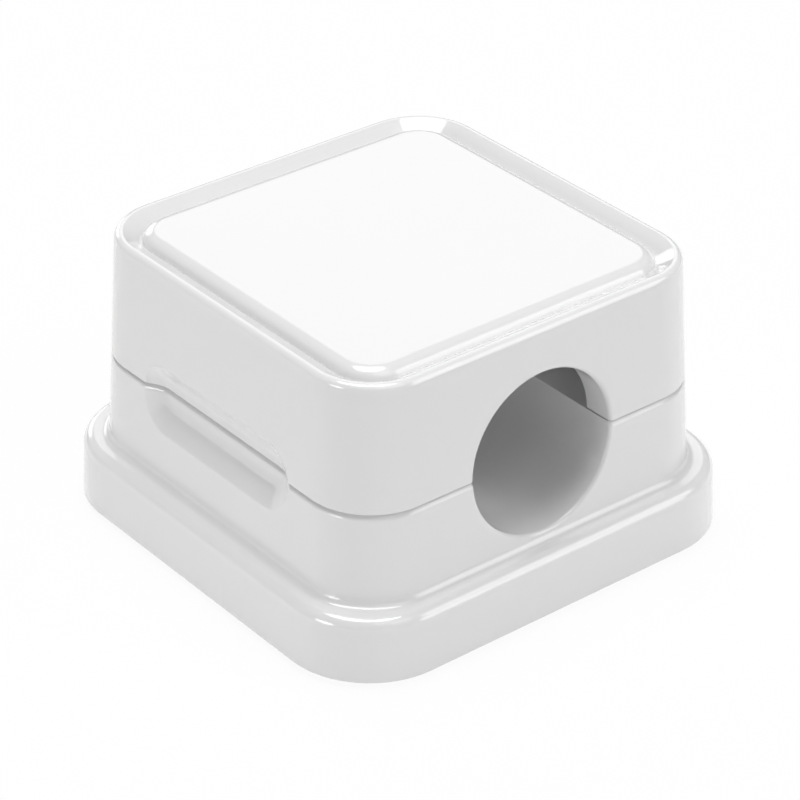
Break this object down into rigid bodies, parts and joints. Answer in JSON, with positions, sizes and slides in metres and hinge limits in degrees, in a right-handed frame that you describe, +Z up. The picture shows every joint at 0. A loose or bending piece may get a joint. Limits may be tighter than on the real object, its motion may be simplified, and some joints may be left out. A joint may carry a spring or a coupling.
{
  "type": "cable clip",
  "caption": "Square stick-on cable clip with a flanged base and a magnet-held lift-off lid that closes round one cable in a round tunnel.",
  "frame": {"origin": "middle of the foam tape's underside, where the clip meets the desk or wall", "axes": "+Z up out of the surface, +X along the cable tunnel, finger recesses in the -Y (front) and +Y (rear) faces"},
  "size_m": [0.03, 0.03, 0.0179],
  "materials": {
    "gloss_white": "polished white moulded ABS",
    "matt_white": "fine matt white moulded ABS",
    "nickel": "bright nickel plate on sintered magnet",
    "foam_tape": "dull closed-cell foam tape"
  },
  "bodies": {
    "base": {"base_shell": "gloss_white", "base_plate": "matt_white", "adhesive_pad": "foam_tape", "base_magnet_front_left": "nickel", "base_magnet_front_right": "nickel", "base_magnet_rear_left": "nickel", "base_magnet_rear_right": "nickel"},
    "lid": {"lid_shell": "gloss_white", "lid_magnet_front_left": "nickel", "lid_magnet_front_right": "nickel", "lid_magnet_rear_left": "nickel", "lid_magnet_rear_right": "nickel"}
  },
  "joints": [
    {"name": "lid_lift", "type": "slide", "parent": "base", "child": "lid", "axis": [0, 0, 1], "range_m": [0, 0.025]}
  ]
}
